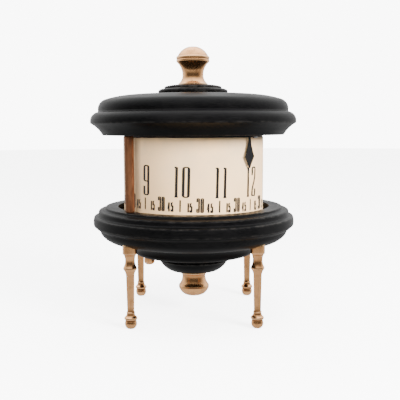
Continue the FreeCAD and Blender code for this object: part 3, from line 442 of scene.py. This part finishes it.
WOOD = ebonised_wood()
BRASS = rose_brass()
COPPER = copper_brown()
PAPER = dial_paper()
INK = printing_ink()
BLACK = blackened_metal()
STEEL = machined_metal("steel", colour(0.56, 0.56, 0.57), colour(0.36, 0.35, 0.34), 0.2, 0.38)
BLUED = machined_metal("blued_steel", colour(0.05, 0.09, 0.30), colour(0.05, 0.05, 0.12), 0.22, 0.36)
YELLOW = machined_metal("movement_brass", colour(0.80, 0.60, 0.28), colour(0.58, 0.40, 0.17), 0.2, 0.36)

FINISHES = {
    "ebonised_wood": WOOD,
    "rose_brass": BRASS,
    "copper_pillar": COPPER,
    "black_metal": BLACK,
    "dial_paper": PAPER,
    "steel": STEEL,
    "blued_steel": BLUED,
    "movement_brass": YELLOW,
}
for part in frame["record"]["subparts"]:
    kept = frame["nodes"][part["node"]]
    kept.data.materials.clear()
    kept.data.materials.append(FINISHES[part["material_slot"]])


# ---- wooden case ----

HOLE_EDGE = 0.05                # softening of a drilled hole's ends
AROUND_HOLE = 48
BOWL_DRILL = (59.0, 73.0)       # heights that a drill passes between, beyond both faces
TIER_DRILL = (48.0, 61.5)


def drill(piece, place, radius, low, high):
    """Cut an upright hole through a turned piece: a cylinder taken away from it at once."""
    bore = outline((0, low), (radius, low), (radius, high), (0, high), soft=HOLE_EDGE)
    cutter = lathe("cutter", bore, place, around=AROUND_HOLE)
    cut = piece.modifiers.new("hole", "BOOLEAN")
    cut.operation = "DIFFERENCE"
    cut.solver = "EXACT"
    cut.object = cutter
    bpy.context.view_layer.update()
    drilled = piece.evaluated_get(bpy.context.evaluated_depsgraph_get())
    mesh = bpy.data.meshes.new_from_object(drilled)
    piece.modifiers.clear()
    piece.data = mesh
    bpy.data.objects.remove(cutter)


def wooden_case():
    """Bowl, tier and boss below the drum, and lid, bead and cap above it."""
    winding_place = node_centre("winding_knob")
    base = outline(
        (CENTRE_HOLE, BOWL_LOW), (63.0, BOWL_LOW),
        ((68.5, 61.3), (72.3, 63.8)),
        ((74.5, 66.3), (75.4, 69.3)),
        (75.9, 69.8),
        ((77.8, 70.9), (79.1, 72.0)),
        (79.3, 72.5), (80.0, 72.8), (80.3, 73.3),
        ((80.5, 75.5), (80.3, 78.0)),
        (79.9, 79.6), (79.2, 80.1), (77.2, 80.6), (76.5, 81.4), (76.3, 83.2),
        ((75.9, 84.5), (74.6, 85.0)),
        (71.6, 85.6), (71.1, 86.0), (70.9, 87.0), (70.5, RING_TOP),
        (RECESS_RADIUS, RING_TOP), (RECESS_RADIUS, RECESS_FLOOR), (CENTRE_HOLE, RECESS_FLOOR),
        soft=0.14,
    )
    bowl = lathe("turned_bowl", base)
    drill(bowl, winding_place, WINDING_HOLE, *BOWL_DRILL)
    stands_for(bowl, "case", ["base_bowl"], WOOD)
    tier = outline(
        (CENTRE_HOLE, TIER_LOW), (45.4, TIER_LOW),
        ((47.9, 50.1), (49.4, 52.0)),
        (49.4, 52.9),
        ((51.3, 56.4), (56.6, 58.6)),
        ((58.9, 59.1), (59.8, BOWL_LOW)),
        (CENTRE_HOLE, BOWL_LOW),
    )
    plinth = lathe("turned_tier", tier)
    drill(plinth, winding_place, WINDING_HOLE, *TIER_DRILL)
    stands_for(plinth, "case", ["base_tier"], WOOD)
    boss = outline(
        (CENTRE_HOLE, BOSS_LOW), (11.6, BOSS_LOW),
        ((12.6, 34.2), (13.2, 34.9)),
        (19.6, 34.9),
        ((24.6, 38.4), (27.8, 42.9)),
        (28.6, 43.1),
        ((29.2, 43.9), (28.6, 44.7)),
        ((29.3, 46.6), (31.6, 47.9)),
        (31.6, TIER_LOW), (CENTRE_HOLE, TIER_LOW),
    )
    piece = lathe("turned_boss", boss, around=AROUND_MIDDLE)
    stands_for(piece, "case", ["base_boss"], WOOD)
    lid = outline(
        (STUD_RADIUS, LID_RECESS_TOP), (9.0, LID_RECESS_TOP), (9.0, LID_LOW), (71.9, LID_LOW),
        ((75.9, 149.3), (80.8, 153.0)),
        ((81.3, 153.4), (81.5, 154.4)),
        ((80.2, 159.2), (75.6, 162.1)),
        (75.2, 162.9),
        ((74.4, 168.0), (70.5, 171.6)),
        ((61.8, 173.9), (46.0, 175.2)),
        (29.0, BEAD_LOW), (STUD_RADIUS, BEAD_LOW),
    )
    stands_for(lathe("turned_lid", lid), "case", ["lid_moulding"], WOOD)
    bead = outline(
        (STUD_RADIUS, BEAD_LOW), (26.6, BEAD_LOW),
        ((27.6, 178.3), (26.2, 179.8)),
        (25.2, CAP_LOW), (STUD_RADIUS, CAP_LOW),
    )
    piece = lathe("turned_bead", bead, around=AROUND_MIDDLE)
    stands_for(piece, "case", ["lid_bead"], WOOD)
    cap = outline(
        (STUD_RADIUS, CAP_LOW), (22.4, CAP_LOW),
        ((22.8, 181.1), (22.0, 182.2)),
        ((18.2, 183.0), (13.4, CAP_TOP)),
        (STUD_RADIUS, CAP_TOP),
    )
    piece = lathe("turned_cap", cap, around=AROUND_MIDDLE)
    stands_for(piece, "case", ["lid_cap"], WOOD)


wooden_case()


# ---- brass and copper ----

def metal_fittings():
    """Finial, two knobs, four legs and three pillars, with the bores that take their studs and arbors."""
    top = outline(
        (0, STUD_TOP), (STUD_RADIUS, STUD_TOP), (STUD_RADIUS, CAP_TOP), (11.8, CAP_TOP), (11.8, 184.2),
        ((9.3, 186.9), (8.33, 191.4)),
        ((9.35, 196.6), (12.2, 200.7)),
        (12.9, 201.3), (13.1, 202.0), (13.1, 202.9),
        (12.75, 203.3), (12.75, 203.5),
        ((13.2, 204.5), (12.6, 205.6)),
        (12.0, 206.0),
        ((9.6, 209.5), (3.6, 213.0)),
        (0, 213.2),
        soft=0.15,
    )
    stands_for(lathe("turned_finial", top, around=AROUND_FITTING), "case", ["finial"], BRASS)
    knob = outline(
        (0, 13.1),
        ((2.6, 13.2), (5.6, 13.6)),
        ((9.4, 15.4), (11.6, 18.4)),
        (12.1, 19.2),
        ((12.35, 20.6), (12.1, 22.0)),
        ((10.3, 24.9), (9.5, 28.4)),
        ((9.6, 30.4), (10.4, 31.6)),
        (10.8, 31.8), (10.8, KNOB_TOP), (ARBOR_RADIUS, KNOB_TOP),
        (ARBOR_RADIUS, KNOB_BORE_END), (0, KNOB_BORE_END),
        soft=0.15,
    )
    piece = lathe("turned_setting_knob", knob, around=AROUND_FITTING)
    stands_for(piece, "hand_setting", ["setting_knob"], BRASS)
    winder = outline(
        (0, 37.7), (1.6, 37.7),
        ((3.5, 38.4), (4.3, 40.4)),
        (4.3, 43.4),
        ((3.7, 45.0), (2.6, 46.4)),
        (2.6, WINDER_TOP), (WINDER_BORE, WINDER_TOP),
        (WINDER_BORE, WINDER_BORE_END), (0, WINDER_BORE_END),
        soft=0.12,
    )
    piece = lathe("turned_winding_knob", winder, node_centre("winding_knob"), around=AROUND_SMALL)
    stands_for(piece, "winding", ["winding_knob"], BRASS)
    leg = outline(
        (0, 0), (2.6, 0),
        ((4.6, 3.7), (4.0, 6.1)),
        (3.9, 6.4), (4.6, 6.9),
        ((4.95, 7.8), (4.5, 8.8)),
        ((3.5, 9.9), (3.0, 11.7)),
        ((3.2, 12.2), (2.8, 12.8)),
        (2.65, 13.5), (3.15, 41.0), (3.4, 42.0),
        ((4.0, 43.7), (4.8, 44.9)),
        ((5.15, 45.9), (4.8, 46.9)),
        ((3.6, 52.6), (4.5, 56.2)),
        (5.2, 56.8), (LEG_COLLAR, 57.4),
        (LEG_COLLAR, LEG_COLLAR_TOP), (LEG_SPIGOT, LEG_COLLAR_TOP),
        (LEG_SPIGOT, LEG_TOP), (0, LEG_TOP),
        soft=0.12,
    )
    pillar = outline(
        (0, RING_TOP), (2.6, RING_TOP),
        ((3.25, 88.3), (PILLAR_RADIUS, 89.4)),
        (PILLAR_RADIUS, 143.4), (3.1, LID_LOW), (0, LID_LOW),
        soft=0.1,
    )
    for name in frame["nodes"]:
        if name.startswith("leg_"):
            piece = lathe("turned_" + name, leg, node_centre(name), around=AROUND_SMALL)
            stands_for(piece, "case", [name], BRASS)
        if name.startswith("pillar_"):
            piece = lathe("drawn_" + name, pillar, node_centre(name), around=AROUND_SMALL)
            stands_for(piece, "case", [name], COPPER)


metal_fittings()


# ---- figures on the dial ----

TWELVE_ANGLE = 50.4     # from the front towards +X, in degrees
HOUR_STEP = 30.0
DIAL_TILT = 0.029       # the printed band sits a little crooked, lower at +X, in radians
DIAL_MIDDLE = 110.0
INK_HEIGHT = 0.035
PAPER_THICKNESS = 0.4

# Sizes in millimetres; a pen is its half widths across and up
HOUR_LOW, HOUR_HEIGHT = 99.1, 22.6
HOUR_PEN = (1.05, 0.50)
HOUR_WIDTHS = {"1": 4.1}
HOUR_WIDTH = 6.0
HOUR_GAP = 2.0
HOUR_SHIFT = 0.9
QUARTER_LOW = 88.4
TICK_HEIGHT, TICK_WIDTH = 9.2, 1.2
TICK_PEN = (0.62, 0.30)
QUARTERS = (("15", 7.3, 2.3), ("30", 10.8, 2.75), ("45", 7.3, 2.3))     # label, height, width of a figure
QUARTER_PEN = (0.66, 0.34)
QUARTER_WIDTHS = {"1": 1.1}
QUARTER_GAP = 0.30
AROUND_SLEEVE = 360
CORNER_CUTS = 4         # passes that round a stroke's corners
NARROWEST = 0.3         # a stroke's half width at the least, in pens

# Centre lines of the figures' strokes, as corners in a box from -1 to 1 across and 0 to 1 up
STROKES = {
    "0": [[(-1, 0.5), (-1, 0.84), (-1, 1), (1, 1), (1, 0.84), (1, 0.16), (1, 0), (-1, 0), (-1, 0.16),
           (-1, 0.5)]],
    "1": [[(0, 0), (0, 1)], [(-1.35, 0), (1.35, 0)], [(-1.6, 0.98), (0, 1)]],
    "2": [[(-1, 0.72), (-1, 0.86), (-1, 1), (1, 1), (1, 0.86), (1, 0.62), (-1, 0.24), (-1, 0)],
          [(-1, 0.01), (0.2, 0.01), (1, 0.0), (1, 0.25)]],
    "3": [[(-1, 0.74), (-1, 0.86), (-1, 1), (1, 1), (1, 0.86), (1, 0.64), (1, 0.52), (-0.1, 0.52)],
          [(-0.1, 0.52), (1, 0.52), (1, 0.40), (1, 0.14), (1, 0), (-1, 0), (-1, 0.14), (-1, 0.26)]],
    "4": [[(0.45, 0), (0.45, 1)], [(0.45, 1), (-1, 0.26)],
          [(-1, 0.26), (1.1, 0.26)], [(-0.2, 0), (1.0, 0)]],
    "5": [[(-0.8, 0.98), (1, 1)], [(-0.8, 1), (-0.8, 0.52)],
          [(-0.8, 0.52), (-0.6, 0.62), (1, 0.64), (1, 0.46), (1, 0.14), (1, 0), (-1, 0), (-1, 0.14),
           (-1, 0.24)]],
    "6": [[(1, 0.70), (1, 0.86), (1, 1), (-1, 1), (-1, 0.86), (-1, 0.14), (-1, 0), (1, 0), (1, 0.14),
           (1, 0.38), (1, 0.53), (-1, 0.53)]],
    "7": [[(-1, 0.84), (-1, 1), (1, 1)], [(1, 1), (-0.1, 0.45), (-0.3, 0)]],
    "8": [[(0, 0.52), (-1, 0.56), (-1, 0.86), (-1, 1), (1, 1), (1, 0.86), (1, 0.56), (0, 0.52)],
          [(0, 0.52), (-1, 0.48), (-1, 0.14), (-1, 0), (1, 0), (1, 0.14), (1, 0.48), (0, 0.52)]],
    "9": [[(1, 0.47), (-1, 0.47), (-1, 0.62), (-1, 0.86), (-1, 1), (1, 1), (1, 0.86), (1, 0.14), (1, 0),
           (-1, 0), (-1, 0.14), (-1, 0.30)]],
}


def rounded(corners):
    """Line with its corners cut in passes; each keeps the points 1/4 and 3/4 along each edge."""
    points = np.array(corners, float)
    if len(points) == 2:
        return points
    for _ in range(CORNER_CUTS):
        start, end = points[:-1], points[1:]
        cut = np.stack([0.75 * start + 0.25 * end, 0.25 * start + 0.75 * end], 1)
        points = np.concatenate([points[:1], cut.reshape(-1, 2), points[-1:]])
    return points


def figure(digit, width, height, pen):
    """Ribbons of one figure, as (left edge, right edge) rows in millimetres about its middle and foot.

    The pen is an ellipse, wide across and thin up, so upright strokes are thick and level ones thin.
    """
    across, up = pen
    scale = np.array([max(width / 2 - across, NARROWEST * across), height - 2 * up])
    ribbons = []
    for stroke in STROKES[digit]:
        points = rounded(stroke) * scale + np.array([0, up])
        along = np.gradient(points, axis=0)
        along /= np.linalg.norm(along, axis=1)[:, None] + 1e-12
        side = np.stack([-along[:, 1], along[:, 0]], 1)
        half = np.hypot(side[:, 0] * across, side[:, 1] * up)[:, None]
        ribbons.append((points + side * half, points - side * half))
    return ribbons


def wrapped(edges, offset, low, middle):
    """Closed thin ribbon on the drum: four corners at each station, wrapped round at angle = arc / radius.

    The band's tilt t lowers a point at angle a by t r cos a and turns it by -t (z - middle) sin a / r.
    """
    left, right = edges
    sides = np.stack([left, right, right, left], 1) + np.array([offset, low])
    depth = np.array([INK_HEIGHT, INK_HEIGHT, -INK_HEIGHT, -INK_HEIGHT])
    angle = math.radians(middle - 90) + sides[..., 0] / DRUM_RADIUS
    height = sides[..., 1] - DIAL_TILT * DRUM_RADIUS * np.cos(angle)
    angle = angle - DIAL_TILT * (sides[..., 1] - DIAL_MIDDLE) / DRUM_RADIUS * np.sin(angle)
    radius = DRUM_RADIUS + depth
    points = np.stack([radius * np.cos(angle), radius * np.sin(angle), height], -1)
    count = len(points)
    index = np.arange(count * 4).reshape(count, 4)
    here, there = index[:-1], index[1:]
    faces = np.stack([here, there, np.roll(there, -1, 1), np.roll(here, -1, 1)], -1).reshape(-1, 4)
    caps = np.array([index[0], index[-1][::-1]])
    return points.reshape(-1, 3), np.concatenate([faces, caps])


def row_of_figures(text, widths, width, gap, height, pen, low, middle, shift=0.0):
    """Ribbons of a number, set side by side about a plan angle; widths holds the digits that differ."""
    sizes = [widths.get(digit, width) for digit in text]
    start = shift - (sum(sizes) + gap * (len(text) - 1)) / 2
    made = []
    for digit, size in zip(text, sizes):
        for edges in figure(digit, size, height, pen):
            made.append(wrapped(edges, start + size / 2, low, middle))
        start += size + gap
    return made


def dial_figures():
    """Hour figures, a stroke at each hour and the quarters between them, as one mesh of thin ribbons."""
    made = []
    for hour in range(1, 13):
        middle = TWELVE_ANGLE + hour * HOUR_STEP
        made += row_of_figures(str(hour), HOUR_WIDTHS, HOUR_WIDTH, HOUR_GAP, HOUR_HEIGHT, HOUR_PEN,
                               HOUR_LOW, middle, HOUR_SHIFT)
        made += row_of_figures("1", {}, TICK_WIDTH, 0.0, TICK_HEIGHT, TICK_PEN, QUARTER_LOW, middle)
        for steps, (label, height, width) in enumerate(QUARTERS, 1):
            made += row_of_figures(label, QUARTER_WIDTHS, width, QUARTER_GAP, height, QUARTER_PEN,
                                   QUARTER_LOW, middle + steps * HOUR_STEP / 4)
    shift = np.cumsum([0] + [len(points) for points, _ in made])
    points = np.concatenate([points for points, _ in made])
    faces = np.concatenate([faces + start for (_, faces), start in zip(made, shift)])
    piece = make_mesh("dial_figures", points * MM, faces.tolist(), smooth=False)
    stands_for(piece, "drum", [], INK)


def dial_sleeve():
    """Paper sleeve round the drum: a plain turned wall."""
    inside = DRUM_RADIUS - PAPER_THICKNESS
    wall = outline(
        (inside, SLEEVE_LOW), (DRUM_RADIUS, SLEEVE_LOW), (DRUM_RADIUS, SLEEVE_TOP), (inside, SLEEVE_TOP),
        soft=0.06,
    )
    piece = lathe("dial_sleeve", wall, around=AROUND_SLEEVE)
    stands_for(piece, "drum", ["dial_band"], PAPER)


dial_sleeve()
dial_figures()


# ---- studio ----

FLOOR_RADIUS = 4.0      # metres, like all lengths in the studio
FLOOR_GLOW = 4.6
SEEN_GLOW = 9.0         # brightness of the surround as the camera sees it directly
WHITE = colour(1.0, 1.0, 1.0)
LAMP_AIM = (0.0, 0.0, 0.11)
LAMPS = (               # name, place, size, power in watts
    ("key", (0.85, -0.75, 0.55), 0.5, 60.0),
    ("front", (-0.35, -1.1, 0.45), 0.6, 20.0),
    ("top", (0.05, -0.25, 1.15), 0.6, 10.0),
)


def studio():
    """Pale floor and surround, and soft lamps for the matt surfaces.

    In reflections the surround shines from behind, overhead and below, so black polish keeps a dark front.
    """
    bpy.ops.mesh.primitive_circle_add(vertices=64, radius=FLOOR_RADIUS, fill_type="NGON")
    floor = bpy.context.object
    floor.name = "studio_floor"
    material, tree, shader, _ = new_material("studio_floor")
    plug(tree, shader, Base_Color=colour(0.93, 0.93, 0.93), Roughness=0.85, Specular_IOR_Level=0.1,
         Emission_Color=WHITE, Emission_Strength=FLOOR_GLOW)
    floor.data.materials.append(material)
    floor.visible_glossy = False
    floor.visible_diffuse = False
    world = bpy.data.worlds.new("studio")
    bpy.context.scene.world = world
    world.use_nodes = True
    tree = world.node_tree
    seen = add(tree, "ShaderNodeLightPath").outputs["Is Camera Ray"]
    way = add(tree, "ShaderNodeTexCoord").outputs["Generated"]
    parts = add(tree, "ShaderNodeSeparateXYZ", {0: way}).outputs
    behind = spread(tree, parts[1], -0.45, 0.5, 0.09, 1.6)
    above = spread(tree, parts[2], -0.7, 0.2, 0.35, 1.0)
    below = spread(tree, parts[2], -0.02, -0.30, 0.0, 0.85)
    overhead = spread(tree, parts[2], 0.35, 0.95, 0.0, 2.6)
    light = maths(tree, "MAXIMUM", maths(tree, "MULTIPLY", behind, above), below)
    light = maths(tree, "ADD", light, overhead)
    unseen = maths(tree, "SUBTRACT", 1.0, seen)
    total = maths(tree, "MULTIPLY_ADD", seen, SEEN_GLOW, maths(tree, "MULTIPLY", unseen, light))
    plug(tree, tree.nodes["Background"], Strength=total, Color=WHITE)
    for settings in LAMPS:
        lamp(*settings)


def lamp(name, place, size, power):
    """Square soft light that faces the middle of the clock."""
    data = bpy.data.lights.new(name, "AREA")
    data.size = size
    data.energy = power
    made = bpy.data.objects.new(name, data)
    aim = np.array(LAMP_AIM) - np.array(place)
    flat = math.hypot(aim[0], aim[1])
    made.rotation_euler = (math.atan2(flat, -aim[2]), 0.0, math.atan2(aim[1], aim[0]) - math.pi / 2)
    made.location = place
    made.visible_glossy = False
    bpy.context.scene.collection.objects.link(made)


SENSOR_WIDTH = 36.0     # millimetres, like the lens
LENS = 57.74
SHIFT = 0.01615
CAMERA_PLACE = (0.0, -0.5167, 0.1504)
DOWN = 6.51             # degrees
ROLL = -0.0047          # radians


def camera():
    """Camera on the front side, a little above the dial and tilted down."""
    data = bpy.data.cameras.new("camera")
    data.sensor_width = SENSOR_WIDTH
    data.lens = LENS
    data.shift_x = SHIFT
    made = bpy.data.objects.new("camera", data)
    made.rotation_mode = "ZYX"
    made.rotation_euler = (math.radians(90 - DOWN), 0.0, ROLL)
    made.location = CAMERA_PLACE
    bpy.context.scene.collection.objects.link(made)
    bpy.context.scene.camera = made


studio()
camera()
